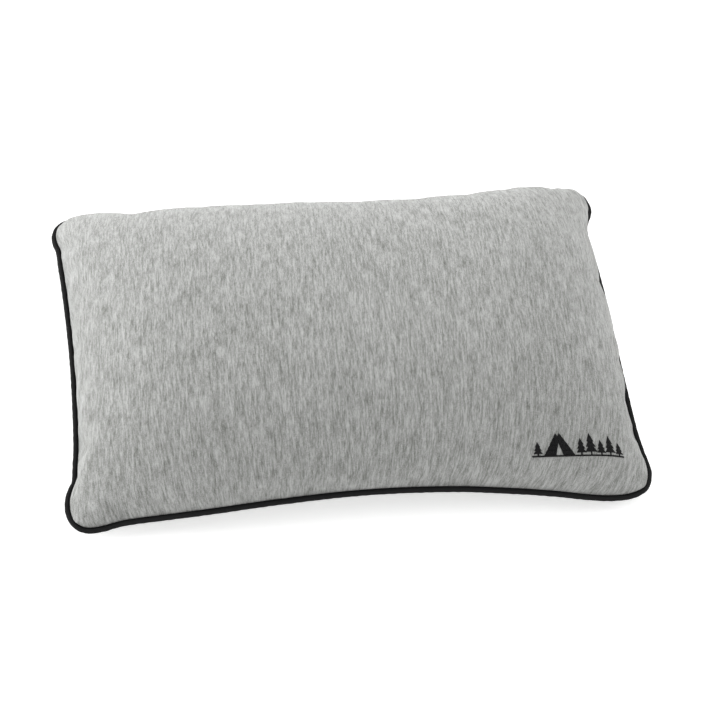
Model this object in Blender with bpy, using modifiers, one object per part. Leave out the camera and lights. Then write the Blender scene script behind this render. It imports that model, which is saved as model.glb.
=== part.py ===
"""Camp pillow: a fibre-filled inner pillow in a zipped jersey cover with a piped edge.

Blender 4.5. Metres, +Z up. The pillow lies on its underside, and the origin is the centre of the
floor under it. +X runs along the long side and +Y points to the back edge, which holds the zip.
"""

import math

import bmesh
import bpy
import numpy as np

MM = 0.001

# ---- Driving dimensions ----------------------------------------------------------------------

# Centreline of the piping, seen from above and run anticlockwise, in millimetres: x, y, height.
# Each side starts at the tip of an ear, the rounded corner that stands out past the sides.
PIPING_ROUTE = {
    "front": [
        (-292, -190, 17), (-285, -197, 15), (-276, -199.5, 14), (-262, -198, 15.5), (-240, -195.5, 19.5),
        (-205, -195, 26), (-155, -195.5, 33), (-85, -194, 38.5), (0, -191.5, 40.5), (85, -192.5, 39.5),
        (145, -196, 36), (190, -200.5, 31), (228, -205, 25), (252, -206, 20.5), (274, -202.5, 17),
    ],
    "right": [
        (290, -192, 15), (296.5, -177, 14.5), (296, -165, 15.5), (291, -146, 19), (287.5, -122, 24),
        (286, -85, 30), (285.5, -30, 34), (285, 30, 34), (284.5, 80, 31), (284, 118, 26),
        (284.5, 142, 21.5), (288, 157, 18.5), (294, 169, 16.5), (296.5, 181, 15.5),
    ],
    "back": [
        (292, 196.5, 15), (281, 204.7, 15), (267, 206.2, 16.5), (250, 203.5, 20), (232, 197.3, 26),
        (218, 191, 31.5), (208, 188.8, 34.3), (203, 188.5, 35), (180, 188.5, 35), (60, 188.5, 35),
        (-60, 188.5, 35), (-180, 188.5, 35), (-203, 188.5, 35), (-208, 188.8, 34.3), (-218, 191, 31.5),
        (-232, 197.3, 26), (-250, 203.5, 20), (-267, 206.2, 16.5), (-281, 204.7, 15),
    ],
    "left": [
        (-291, 196.5, 15), (-295.5, 184, 15), (-295, 172, 16), (-289.5, 158, 18.5), (-287, 135, 22),
        (-285, 100, 26), (-283, 50, 29.5), (-282, 0, 31), (-282.5, -50, 31), (-284, -100, 29),
        (-286.5, -128, 26.5), (-288.5, -145, 24), (-293, -154, 22.5), (-296.5, -166, 21), (-296.5, -179, 19),
    ],
}
ROUTE_STEPS = 12  # points worked out between two points of the route

HALF_LENGTH = 285 * MM  # of the cover between its sides
HALF_WIDTH = 190 * MM
CROWN = 72 * MM  # rise of the top over a sheet stretched across the seam, at the middle
END_FULLNESS = 6.0  # how square the crown is along the length
SIDE_FULLNESS = 2.4  # how square the crown is across the width
BELLY_REACH = 1.5  # how soon the underside meets the floor
BELLY_CURVE = 2.0  # how softly it meets it
LONG_STEPS = 28  # panel divisions along the length
SHORT_STEPS = 18  # and across the width

JERSEY = 0.8 * MM  # thickness of the cover
LINING = 0.5 * MM  # thickness of the inner case
PIPE_RADIUS = 2.5 * MM  # outside of the piping
BIAS_STRIP = 0.45 * MM  # thickness of the strip wrapped round the piping cord
PIPE_CORD_RADIUS = 1.5 * MM
FLANGE_END = 8.5 * MM  # piping centreline to the inner edge of its flange
FLANGE_SPLIT = 0.15 * MM  # half the gap between the two plies of the flange
GAP = 0.3 * MM  # clearance between pieces that touch

PANEL_INSET = PIPE_RADIUS + GAP  # piping centreline to the edge of the cover
PANEL_LIFT = FLANGE_SPLIT + BIAS_STRIP + GAP + JERSEY  # edge of the cover above or below it
CASE_INSET = 16 * MM
CASE_SHRINK = 1.5 * MM  # the inner case inside the cover, top and bottom
CASE_LIFT = GAP / 2 + LINING
FILLING_INSET = CASE_INSET + 2 * MM
FILLING_SHRINK = CASE_SHRINK + LINING + 0.5 * MM

ZIP_TILT = math.radians(10)  # the back wall leans in below the piping
ZIP_BACK_Y = 188.5 * MM  # piping centreline over the zip
ZIP_BACK_Z = 35 * MM
CHAIN_DROP = 8.4 * MM  # piping centreline down to the middle of the zip
TAPE_TOP = 1.0 * MM  # piping centreline down to the top of the upper tape
TAPE_BOTTOM = 15 * MM  # and down to the bottom of the lower tape
TAPE_HALF_LENGTH = 188 * MM
TAPE = 0.6 * MM  # thickness of the tape
TAPE_SPLIT = 0.8 * MM  # half the gap between the tapes
COIL_HALF_LENGTH = 178 * MM
COIL_WIDTH = 2.2 * MM
COIL_HEIGHT = 1.8 * MM
COIL_BORE = 0.6 * MM
COIL_CORD_RADIUS = 0.25 * MM

SLIDER_LENGTH = 10.5 * MM
SLIDER_FRONT = 9 * MM  # width at the end that opens the coils
SLIDER_TAIL = 7.4 * MM
PLATE = 1.1 * MM
SLIDER_X = -173.2 * MM  # middle of the slider with the zip closed
POST = 1.0 * MM  # width of the post between the two plates
LUG_RADIUS = 2.2 * MM
LUG_HOLE = 1.25 * MM
LUG_WIDTH = 1.6 * MM
PULLER_THICKNESS = 1.0 * MM
PULLER_LENGTH = 27 * MM
PULLER_WIDTH = 6 * MM
STOP_LENGTH = 3 * MM

LABEL_SIZE = (18 * MM, 0.4 * MM, 22 * MM)
LABEL_Y = 55 * MM

MOTIF_LENGTH = (0.56, 0.895)  # extent of the motif over the top, as shares of the half length
MOTIF_WIDTH = (-0.88, -0.785)  # and of the half width
MOTIF_RISE = 0.065  # by how much it climbs from left to right
MOTIF = 0.6 * MM

# Colour, roughness and metallic value of each material.
MATERIALS = {
    "melange_jersey": ((0.38, 0.385, 0.37), 0.95, 0.0),
    "black_piping": ((0.012, 0.012, 0.012), 0.8, 0.0),
    "cotton_cord": ((0.75, 0.72, 0.66), 0.95, 0.0),
    "zip_tape": ((0.015, 0.015, 0.016), 0.85, 0.0),
    "zip_coil": ((0.02, 0.02, 0.022), 0.35, 0.0),
    "zip_metal": ((0.045, 0.045, 0.05), 0.35, 1.0),
    "white_lining": ((0.78, 0.78, 0.77), 0.9, 0.0),
    "fibre": ((0.85, 0.85, 0.84), 1.0, 0.0),
    "satin_label": ((0.82, 0.82, 0.8), 0.5, 0.0),
    "black_thread": ((0.012, 0.012, 0.013), 0.5, 0.0),
}


# ---- Scene helpers ---------------------------------------------------------------------------


def clear_scene():
    for old in list(bpy.data.objects):
        bpy.data.objects.remove(old, do_unlink=True)


def new_collection(name):
    collection = bpy.data.collections.new(name)
    bpy.context.scene.collection.children.link(collection)
    return collection


def make_material(name):
    colour, roughness, metallic = MATERIALS[name]
    material = bpy.data.materials.new(name)
    material.use_nodes = True
    shader = material.node_tree.nodes["Principled BSDF"]
    shader.inputs["Base Color"].default_value = (*colour, 1.0)
    shader.inputs["Roughness"].default_value = roughness
    shader.inputs["Metallic"].default_value = metallic
    material.diffuse_color = (*colour, 1.0)
    return material


def move_to(obj, collection):
    for holder in list(obj.users_collection):
        holder.objects.unlink(obj)
    collection.objects.link(obj)


def finish(obj, name, material, parent=None):
    """Names a sub-part, gives it its material and puts it in the pillow's collection."""
    obj.name = name
    obj.data.name = name
    obj.data.materials.clear()
    obj.data.materials.append(bpy.data.materials[material])
    move_to(obj, bpy.data.collections["camp_pillow"])
    if parent is not None:
        obj.parent = parent
    return obj


def hide_helper(obj):
    obj.hide_render = True
    obj.display_type = "WIRE"
    move_to(obj, bpy.data.collections["cutters"])
    return obj


def mesh_from(obj):
    """A curve object made into a mesh object in its place, with its caps welded on."""
    bpy.context.view_layer.update()
    graph = bpy.context.evaluated_depsgraph_get()
    mesh = bpy.data.meshes.new_from_object(obj.evaluated_get(graph))
    shape = bmesh.new()
    shape.from_mesh(mesh)
    bmesh.ops.remove_doubles(shape, verts=shape.verts, dist=0.001 * MM)
    bmesh.ops.recalc_face_normals(shape, faces=shape.faces)
    shape.to_mesh(mesh)
    shape.free()
    made = bpy.data.objects.new(obj.name, mesh)
    made.matrix_world = obj.matrix_world
    bpy.context.scene.collection.objects.link(made)
    bpy.data.objects.remove(obj, do_unlink=True)
    return made


def box(size, centre):
    """A box at its size, with the centre given in its parent's frame."""
    bpy.ops.mesh.primitive_cube_add(size=1.0)
    obj = bpy.context.object
    for corner in obj.data.vertices:
        corner.co = [part * whole for part, whole in zip(corner.co, size)]
    obj.location = centre
    return obj


def boolean(obj, tool, operation):
    """Joins tool to obj, or cuts it out, and applies it."""
    bpy.context.view_layer.update()
    modifier = obj.modifiers.new(operation.title(), "BOOLEAN")
    modifier.operation = operation
    modifier.solver = "EXACT"
    modifier.object = tool
    bpy.context.view_layer.update()
    graph = bpy.context.evaluated_depsgraph_get()
    mesh = bpy.data.meshes.new_from_object(obj.evaluated_get(graph))
    obj.modifiers.remove(modifier)
    obj.data = mesh
    return obj


def unite(obj, *tools):
    for tool in tools:
        boolean(obj, tool, "UNION")
        bpy.data.objects.remove(tool, do_unlink=True)
    return obj


# ---- The seam line ---------------------------------------------------------------------------


def smooth_loop(points, steps):
    """Points along a closed curve through all the given points, worked out by Catmull and Rom's rule."""
    count = len(points)
    made = []
    for i in range(count):
        before, start, end, after = (points[(i + k) % count] for k in (-1, 0, 1, 2))
        for t in np.arange(steps) / steps:
            made.append(
                0.5
                * (
                    2 * start
                    + (end - before) * t
                    + (2 * before - 5 * start + 4 * end - after) * t**2
                    + (3 * start - before - 3 * end + after) * t**3
                )
            )
    return np.array(made)


def seam_sides():
    """The piping's centreline and the inward direction along it, as one pair of arrays for each side."""
    route = np.array([point for side in PIPING_ROUTE.values() for point in side], float) * MM
    line = smooth_loop(route, ROUTE_STEPS)
    along = np.roll(line, -1, axis=0) - np.roll(line, 1, axis=0)
    inward = np.stack([-along[:, 1], along[:, 0], np.zeros(len(line))], axis=1)
    inward /= np.linalg.norm(inward, axis=1)[:, None]
    sides, start = {}, 0
    for name, points in PIPING_ROUTE.items():
        which = np.arange(start, start + len(points) * ROUTE_STEPS + 1) % len(line)
        sides[name] = (line[which], inward[which])
        start += len(points) * ROUTE_STEPS
    return sides


SIDES = seam_sides()


def side_points(name, shares, inset):
    """Points at these shares of a side's length, moved in from the piping's centreline by inset."""
    line, inward = SIDES[name]
    run = np.concatenate([[0], np.cumsum(np.linalg.norm(np.diff(line, axis=0), axis=1))])
    at = np.asarray(shares) * run[-1]
    moved = line + inward * inset
    return np.stack([np.interp(at, run, moved[:, axis]) for axis in range(3)], axis=-1)


def eased(steps):
    """Values from -1 to 1 that crowd together towards both ends."""
    return np.sin(np.linspace(-math.pi / 2, math.pi / 2, steps + 1))


def seam_loop(inset):
    """The closed line of points that the panels, the piping and the filling all share."""
    long_shares = (eased(LONG_STEPS)[:-1] + 1) / 2
    short_shares = (eased(SHORT_STEPS)[:-1] + 1) / 2
    shares = {"front": long_shares, "right": short_shares, "back": long_shares, "left": short_shares}
    return np.concatenate([side_points(name, shares[name], inset) for name in PIPING_ROUTE])


# ---- The pillow's form -----------------------------------------------------------------------


def patch(u, v):
    """Points of a sheet stretched across the edge of the cover, where u and v run from -1 to 1."""
    s, t = (u + 1) / 2, (v + 1) / 2
    front = side_points("front", s, PANEL_INSET)
    back = side_points("back", 1 - s, PANEL_INSET)
    left = side_points("left", 1 - t, PANEL_INSET)
    right = side_points("right", t, PANEL_INSET)
    corners = {name: side_points(name, [0.0], PANEL_INSET)[0] for name in PIPING_ROUTE}
    s, t = s[:, None], t[:, None]
    across = (1 - t) * front + t * back
    along = (1 - s) * left + s * right
    flat = (
        (1 - s) * (1 - t) * corners["front"]
        + s * (1 - t) * corners["right"]
        + s * t * corners["back"]
        + (1 - s) * t * corners["left"]
    )
    return across + along - flat


def fullness(u, v):
    """1 at the middle of the pillow, falling to 0 at the seam along upright walls."""
    along = np.sqrt(np.clip(1 - np.abs(u) ** END_FULLNESS, 0, 1))
    across = np.sqrt(np.clip(1 - np.abs(v) ** SIDE_FULLNESS, 0, 1))
    return along * across


def form(u, v, side, inset, shrink, lift):
    """Points of the top or underside. Inset is how far its edge lies from the piping's centreline,
    shrink moves the rest in from the outer form, and lift parts the two edges."""
    spare = inset - PANEL_INSET
    points = patch(u * (1 - spare / HALF_LENGTH), v * (1 - spare / HALF_WIDTH))
    full = fullness(u, v)
    if side == "top":
        points[:, 2] += lift + (CROWN - shrink - lift) * full
        return points
    sunk = np.clip(1 - BELLY_REACH * full, 0, 1) ** BELLY_CURVE
    points[:, 2] = shrink + (points[:, 2] - lift - shrink) * sunk
    return points


def sheet(side, inset, shrink, lift):
    """An open grid in the form of the top or the underside, facing out."""
    bpy.ops.mesh.primitive_grid_add(x_subdivisions=LONG_STEPS, y_subdivisions=SHORT_STEPS, size=2.0)
    obj = bpy.context.object
    flat = np.array([corner.co for corner in obj.data.vertices])
    u, v = (np.sin(flat[:, axis] * math.pi / 2) for axis in (0, 1))
    obj.data.vertices.foreach_set("co", form(u, v, side, inset, shrink, lift).ravel())
    if side == "underside":
        obj.data.flip_normals()
    obj.data.update()
    obj.data.shade_smooth()
    return obj


def thicken(obj, thickness):
    modifier = obj.modifiers.new("Thickness", "SOLIDIFY")
    modifier.thickness = thickness
    modifier.offset = -1.0
    return obj


def filling():
    """The soft block of fibre: both sheets joined along the seam."""
    top = sheet("top", FILLING_INSET, FILLING_SHRINK, 0.0)
    under = sheet("underside", FILLING_INSET, FILLING_SHRINK, 0.0)
    shape = bmesh.new()
    shape.from_mesh(top.data)
    shape.from_mesh(under.data)
    bmesh.ops.remove_doubles(shape, verts=shape.verts, dist=0.01 * MM)
    shape.to_mesh(top.data)
    shape.free()
    bpy.data.objects.remove(under, do_unlink=True)
    return top


# ---- The piping ------------------------------------------------------------------------------


def closed_line(name, points, flat=False):
    """A closed curve of straight runs between the points."""
    curve = bpy.data.curves.new(name, "CURVE")
    curve.dimensions = "2D" if flat else "3D"
    spline = curve.splines.new("POLY")
    spline.points.add(len(points) - 1)
    for point, place in zip(spline.points, points):
        point.co = (*place, *([0.0] * (3 - len(place))), 1.0)
    spline.use_cyclic_u = True
    obj = bpy.data.objects.new(name, curve)
    bpy.context.scene.collection.objects.link(obj)
    return obj


def arc(radius, start, end, steps, centre=(0.0, 0.0)):
    return [
        (centre[0] + radius * math.cos(angle), centre[1] + radius * math.sin(angle))
        for angle in np.radians(np.linspace(start, end, steps + 1))
    ]


def strip_outline():
    """Section of the bias strip: round the cord, with its two plies together as the flange. Each
    point is how far it lies inward and above the piping's centreline."""
    inner_radius = PIPE_RADIUS - BIAS_STRIP
    outer_ply = FLANGE_SPLIT + BIAS_STRIP
    outer = math.degrees(math.asin(outer_ply / PIPE_RADIUS))
    inner = math.degrees(math.asin(FLANGE_SPLIT / inner_radius))
    outline = arc(PIPE_RADIUS, outer, 360 - outer, 9)
    outline += [(FLANGE_END, -outer_ply), (FLANGE_END, -FLANGE_SPLIT)]
    outline += arc(inner_radius, 360 - inner, inner, 7)
    outline += [(FLANGE_END, FLANGE_SPLIT), (FLANGE_END, outer_ply)]
    return outline


def make_piping():
    """The cord, and the bias strip swept round it with its flange pointing into the pillow."""
    section = [(-inward, up) for inward, up in strip_outline()]
    profile = hide_helper(closed_line("piping_profile", section, flat=True))
    sleeve = closed_line("piping_sleeve", seam_loop(0.0))
    sleeve.data.twist_mode = "Z_UP"
    sleeve.data.bevel_mode = "OBJECT"
    sleeve.data.bevel_object = profile
    sleeve = mesh_from(sleeve)
    sleeve.data.shade_smooth()
    sleeve.data.set_sharp_from_angle(angle=math.radians(50))
    finish(sleeve, "piping_sleeve", "black_piping")
    cord = closed_line("piping_cord", seam_loop(0.0))
    cord.data.bevel_depth = PIPE_CORD_RADIUS
    cord.data.bevel_resolution = 2
    finish(cord, "piping_cord", "cotton_cord")


# ---- The cover and the inner pillow ----------------------------------------------------------


def make_cover():
    top = thicken(sheet("top", PANEL_INSET, 0.0, PANEL_LIFT), JERSEY)
    finish(top, "cover_top_panel", "melange_jersey")
    under = thicken(sheet("underside", PANEL_INSET, 0.0, PANEL_LIFT), JERSEY)
    finish(under, "cover_underside_panel", "melange_jersey")
    return under


def make_inner_pillow():
    for side in ("top", "underside"):
        case = thicken(sheet(side, CASE_INSET, CASE_SHRINK, CASE_LIFT), LINING)
        finish(case, f"inner_case_{side}", "white_lining")
    finish(filling(), "fibre_filling", "fibre")


def make_motif():
    """The embroidered motif, as one thin patch that follows the top near the front right ear."""
    steps_long, steps_short = 10, 4
    bpy.ops.mesh.primitive_grid_add(x_subdivisions=steps_long, y_subdivisions=steps_short, size=2.0)
    obj = bpy.context.object
    flat = (np.array([corner.co for corner in obj.data.vertices])[:, :2] + 1) / 2
    u = MOTIF_LENGTH[0] + (MOTIF_LENGTH[1] - MOTIF_LENGTH[0]) * flat[:, 0]
    v = MOTIF_WIDTH[0] + (MOTIF_WIDTH[1] - MOTIF_WIDTH[0]) * flat[:, 1]
    v += MOTIF_RISE * (flat[:, 0] - 0.5)
    obj.data.vertices.foreach_set("co", form(u, v, "top", PANEL_INSET, 0.0, PANEL_LIFT).ravel())
    obj.data.update()
    stand_off = obj.modifiers.new("StandOff", "DISPLACE")
    stand_off.mid_level = 0.0
    stand_off.strength = 3 * GAP
    thicken(obj, MOTIF).modifiers["Thickness"].offset = 1.0
    finish(obj, "embroidered_motif", "black_thread")


# ---- The zip ---------------------------------------------------------------------------------
# Everything here is placed in the frame of the zip: x along it, y out of the wall and z up it,
# from the tape's middle plane at the height of the piping.


def zip_frame():
    frame = bpy.data.objects.new("zip_frame", None)
    bpy.context.scene.collection.objects.link(frame)
    frame.location = (0.0, ZIP_BACK_Y - PANEL_INSET - TAPE / 2, ZIP_BACK_Z)
    frame.rotation_euler = (-ZIP_TILT, 0.0, 0.0)
    return frame


COIL_MIDDLE_Y = TAPE / 2 + GAP + COIL_HEIGHT / 2
COIL_TOP_Y = COIL_MIDDLE_Y + COIL_HEIGHT / 2
PLATE_BOTTOM_Y = COIL_TOP_Y + GAP
PLATE_TOP_Y = PLATE_BOTTOM_Y + PLATE
PIVOT_Y = PLATE_TOP_Y + 0.85 * MM


def cut_zip_opening(panel, frame):
    """The slot in the underside panel that the tapes fill."""
    bottom = -(TAPE_BOTTOM + GAP)
    top = 6 * MM
    depth = 14 * MM
    size = (2 * (TAPE_HALF_LENGTH + GAP), depth, top - bottom)
    cutter = box(size, (0.0, 0.0, (top + bottom) / 2))
    cutter.name = "zip_opening_cutter"
    cutter.parent = frame
    hide_helper(cutter)
    bpy.context.view_layer.update()
    cut = panel.modifiers.new("ZipOpening", "BOOLEAN")
    cut.operation = "DIFFERENCE"
    cut.solver = "EXACT"
    cut.object = cutter


def bar_along_zip(name, outlines, half_length, place, frame, material):
    """Outlines drawn across the zip and drawn out along it. A second outline is a bore."""
    obj = closed_line(name, outlines[0], flat=True)
    for outline in outlines[1:]:
        spline = obj.data.splines.new("POLY")
        spline.points.add(len(outline) - 1)
        for point, corner in zip(spline.points, outline):
            point.co = (*corner, 0.0, 1.0)
        spline.use_cyclic_u = True
    obj.data.fill_mode = "BOTH"
    obj.data.extrude = half_length
    obj.rotation_euler = (math.pi / 2, 0.0, math.pi / 2)
    obj.location = place
    obj = mesh_from(obj)
    return finish(obj, name, material, frame)


def rounded_outline(width, height, corner, steps=3):
    """A box outline with round corners, centred on 0, 0."""
    x, y = width / 2 - corner, height / 2 - corner
    return (
        arc(corner, 0, 90, steps, (x, y))
        + arc(corner, 90, 180, steps, (-x, y))
        + arc(corner, 180, 270, steps, (-x, -y))
        + arc(corner, 270, 360, steps, (x, -y))
    )


def make_tapes_and_coils(frame):
    for name, sign in (("upper", 1), ("lower", -1)):
        inner = -CHAIN_DROP + sign * TAPE_SPLIT
        outer = -TAPE_TOP if sign > 0 else -TAPE_BOTTOM
        tape = box(
            (2 * TAPE_HALF_LENGTH, TAPE, abs(outer - inner)), (0.0, 0.0, (outer + inner) / 2)
        )
        finish(tape, f"zip_tape_{name}", "zip_tape", frame)
        middle = -CHAIN_DROP + sign * (TAPE_SPLIT + COIL_WIDTH / 2)
        place = (0.0, COIL_MIDDLE_Y, middle)
        outlines = [
            rounded_outline(COIL_HEIGHT, COIL_WIDTH, 0.6 * MM),
            arc(COIL_BORE, 0, 315, 7),
        ]
        bar_along_zip(f"zip_coil_{name}", outlines, COIL_HALF_LENGTH, place, frame, "zip_coil")
        bar_along_zip(
            f"zip_coil_cord_{name}",
            [arc(COIL_CORD_RADIUS, 0, 315, 7)],
            COIL_HALF_LENGTH,
            place,
            frame,
            "cotton_cord",
        )
        stop = box(
            (STOP_LENGTH, COIL_HEIGHT, COIL_WIDTH),
            (-COIL_HALF_LENGTH - GAP - STOP_LENGTH / 2 - 1 * MM, COIL_MIDDLE_Y, middle),
        )
        finish(stop, f"zip_top_stop_{name}", "zip_metal", frame)
    stop = box(
        (STOP_LENGTH, COIL_HEIGHT, 2 * (TAPE_SPLIT + COIL_WIDTH)),
        (COIL_HALF_LENGTH + GAP + STOP_LENGTH / 2 + 1 * MM, COIL_MIDDLE_Y, -CHAIN_DROP),
    )
    finish(stop, "zip_bottom_stop", "zip_metal", frame)


def plate_outline():
    """A slider plate seen from outside: broad where it parts the coils, with a rounded tail."""
    front, tail = SLIDER_FRONT / 2, SLIDER_TAIL / 2
    end = SLIDER_LENGTH / 2
    corner = 1.5 * MM
    return (
        arc(corner, 90, 180, 3, (-end + corner, front - corner))
        + arc(corner, 180, 270, 3, (-end + corner, -front + corner))
        + arc(corner, 270, 360, 3, (end - corner, -tail + corner))
        + arc(corner, 0, 90, 3, (end - corner, tail - corner))
    )


def flat_piece(name, outlines, thickness, bottom_y):
    """A flat piece lying on the zip, with its underside bottom_y out from the tape's middle."""
    obj = closed_line(name, outlines[0], flat=True)
    for outline in outlines[1:]:
        spline = obj.data.splines.new("POLY")
        spline.points.add(len(outline) - 1)
        for point, corner in zip(spline.points, outline):
            point.co = (*corner, 0.0, 1.0)
        spline.use_cyclic_u = True
    obj.data.fill_mode = "BOTH"
    obj.data.extrude = thickness / 2
    obj.rotation_euler = (math.pi / 2, 0.0, 0.0)
    obj.location = (0.0, bottom_y + thickness / 2, 0.0)
    return mesh_from(obj)


def slider_lug():
    """The arch on the slider that holds the puller."""
    root_y = PLATE_TOP_Y - 0.4 * MM
    outer = arc(LUG_RADIUS, 0, 180, 10, (0.0, PIVOT_Y))
    outer += [(-LUG_RADIUS, root_y), (-LUG_HOLE, root_y)]
    outer += arc(LUG_HOLE, 180, 0, 8, (0.0, PIVOT_Y))
    outer += [(LUG_HOLE, root_y), (LUG_RADIUS, root_y)]
    obj = closed_line("slider_lug", outer, flat=True)
    obj.data.fill_mode = "BOTH"
    obj.data.extrude = LUG_WIDTH / 2
    return mesh_from(obj)


def make_slider(frame):
    joint = bpy.data.objects.new("slider_place", None)
    bpy.context.scene.collection.objects.link(joint)
    joint.parent = frame
    joint.location = (SLIDER_X, 0.0, -CHAIN_DROP)

    outer_plate = flat_piece("outer_plate", [plate_outline()], PLATE, PLATE_BOTTOM_Y)
    back_y = -TAPE / 2 - GAP - PLATE
    inner_plate = flat_piece("inner_plate", [plate_outline()], PLATE, back_y)
    post_bottom = back_y + PLATE / 2
    post_top = PLATE_BOTTOM_Y + PLATE / 2
    post = box(
        (3.2 * MM, post_top - post_bottom, POST),
        (-SLIDER_LENGTH / 2 + 2.4 * MM, (post_top + post_bottom) / 2, 0.0),
    )
    rims = []
    rim_height = PLATE_BOTTOM_Y + PLATE / 2 - (TAPE / 2 + GAP)
    rim_width = 0.7 * MM
    for sign in (1, -1):
        rims.append(
            box(
                (SLIDER_LENGTH * 0.7, rim_height, rim_width),
                (
                    0.0,
                    TAPE / 2 + GAP + rim_height / 2,
                    sign * (TAPE_SPLIT + COIL_WIDTH + GAP + rim_width / 2),
                ),
            )
        )
    body = unite(outer_plate, slider_lug(), *rims, post, inner_plate)
    finish(body, "zip_slider_body", "zip_metal", joint)

    pivot = bpy.data.objects.new("puller_pivot", None)
    bpy.context.scene.collection.objects.link(pivot)
    pivot.parent = joint
    pivot.location = (0.0, PIVOT_Y, 0.0)
    half_bar = PULLER_THICKNESS / 2
    neck = 2.5 * MM
    end = PULLER_WIDTH / 2
    outline = arc(end, -90, 90, 8, (PULLER_LENGTH - end, 0.0))
    outline += [(8 * MM, end), (5.5 * MM, neck), (-half_bar, neck)]
    outline += [(-half_bar, -neck), (5.5 * MM, -neck), (8 * MM, -end)]
    half_slot = LUG_WIDTH / 2 + GAP
    slot_end = LUG_RADIUS + 3 * GAP
    slot = [(half_bar, -half_slot), (slot_end, -half_slot), (slot_end, half_slot), (half_bar, half_slot)]
    puller = flat_piece("zip_puller", [outline, slot], PULLER_THICKNESS, -PULLER_THICKNESS / 2)
    finish(puller, "zip_puller", "zip_metal", pivot)


def make_label():
    """A care label, sewn in under the piping on the right side."""
    line, inward = SIDES["right"]
    nearest = int(np.argmin(np.abs(line[:, 1] - LABEL_Y)))
    place, into = line[nearest], inward[nearest]
    width, thickness, height = LABEL_SIZE
    label = box(LABEL_SIZE, (0.0, 0.0, 0.0))
    stand_off = PANEL_INSET - thickness / 2 - 2 * GAP
    top = place[2] - PIPE_RADIUS - 2 * GAP
    label.location = (*(place + into * stand_off)[:2], top - height / 2)
    label.rotation_euler = (0.0, 0.0, math.atan2(-into[0], into[1]) + math.pi)
    finish(label, "care_label", "satin_label")


# ---- Assembly --------------------------------------------------------------------------------


def main():
    clear_scene()
    new_collection("camp_pillow")
    new_collection("cutters")
    for name in MATERIALS:
        make_material(name)
    underside = make_cover()
    make_piping()
    make_inner_pillow()
    make_motif()
    frame = zip_frame()
    cut_zip_opening(underside, frame)
    make_tapes_and_coils(frame)
    make_slider(frame)
    make_label()


main()
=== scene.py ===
import math

import bpy
import numpy as np
from bpy.props import FloatProperty, FloatVectorProperty, IntProperty, PointerProperty
from mathutils import Matrix, Vector


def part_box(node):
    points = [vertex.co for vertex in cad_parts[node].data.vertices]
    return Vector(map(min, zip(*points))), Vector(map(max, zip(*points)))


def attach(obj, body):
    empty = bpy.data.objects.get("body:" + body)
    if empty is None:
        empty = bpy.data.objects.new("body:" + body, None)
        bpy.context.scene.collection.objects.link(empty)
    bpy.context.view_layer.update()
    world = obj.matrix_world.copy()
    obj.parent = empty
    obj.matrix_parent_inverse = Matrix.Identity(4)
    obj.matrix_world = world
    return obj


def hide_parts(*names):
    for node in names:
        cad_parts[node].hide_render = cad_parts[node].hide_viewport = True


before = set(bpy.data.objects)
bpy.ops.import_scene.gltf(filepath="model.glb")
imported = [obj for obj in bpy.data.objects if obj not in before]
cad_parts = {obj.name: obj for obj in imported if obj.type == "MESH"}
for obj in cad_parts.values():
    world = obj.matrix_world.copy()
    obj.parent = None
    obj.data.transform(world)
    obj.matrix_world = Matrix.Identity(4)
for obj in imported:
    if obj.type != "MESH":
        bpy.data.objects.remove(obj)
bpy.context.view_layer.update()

bl_info = {
    "name": "Camp pillow",
    "version": (1, 0, 0),
    "blender": (4, 5, 0),
    "location": "View3D > Sidebar > Camp pillow",
    "description": "A jersey camp pillow with piping, a zip, an inner pillow and an embroidered motif",
    "category": "Object",
}

MM = 0.001

# Centreline of the piping, seen from above and run anticlockwise, in millimetres: x, y, height.
# Each side starts at the tip of an ear.
PIPING_ROUTE = {
    "front": [
        (-292, -190, 17), (-285, -196, 15), (-276, -198.3, 14), (-262, -198, 15.5), (-240, -195.5, 19.5),
        (-205, -197, 26), (-155, -198, 33), (-85, -195.5, 38.5), (0, -192.5, 40.5), (85, -194.5, 39.5),
        (145, -199, 36), (190, -202.5, 31), (228, -206, 25), (252, -206, 20.5), (274, -202.5, 17),
    ],
    "right": [
        (291, -192.5, 15), (297.5, -177, 14.5), (297.5, -165, 15.5), (293.5, -146, 19), (290, -122, 24),
        (287.5, -85, 30), (285.5, -30, 34), (285, 30, 34), (284, 80, 31), (283, 118, 26),
        (283, 142, 21.5), (286.5, 157, 18.5), (291.5, 168.5, 16.5), (294, 180, 15.5),
    ],
    "back": [
        (290, 195.5, 15), (280.5, 204, 15), (267, 206.2, 16.5), (250, 203.5, 20), (232, 197.3, 26),
        (218, 191, 31.5), (208, 188.8, 34.3), (203, 188.5, 35), (180, 188.5, 35), (60, 188.5, 35),
        (-60, 188.5, 35), (-180, 188.5, 35), (-203, 188.5, 35), (-208, 188.8, 34.3), (-218, 191, 31.5),
        (-232, 197.3, 26), (-250, 201.5, 20), (-266, 203, 16.5), (-279, 201.5, 15),
    ],
    "left": [
        (-287.5, 194, 15), (-291.5, 183.5, 15), (-291, 172, 16), (-288, 158, 18.5), (-287, 135, 22),
        (-285, 100, 26), (-283, 50, 29.5), (-282, 0, 31), (-282.5, -50, 31), (-284, -100, 29),
        (-286.5, -128, 26.5), (-288.5, -145, 24), (-293, -154, 22.5), (-296.5, -166, 21), (-296.5, -179, 19),
    ],
}

PANEL_INSET = 2.8 * MM
PANEL_LIFT = 1.7 * MM
HALF_LENGTH = 285 * MM
HALF_WIDTH = 190 * MM

# The zip's frame: x along it, y out of the wall and z up it.
ZIP_FRAME = Matrix.Translation((0.0, 185.4 * MM, 35 * MM)) @ Matrix.Rotation(-math.radians(10), 4, "X")
CHAIN_DROP = 8.4 * MM
TAPE_HALF = 188 * MM
COIL_HALF = 178 * MM
SLIDER_X = -173.2 * MM
SLOT_HALF = 184.6 * MM
SLOT_HEIGHT = 8.2 * MM


# Sizes and colours a user would change


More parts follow.
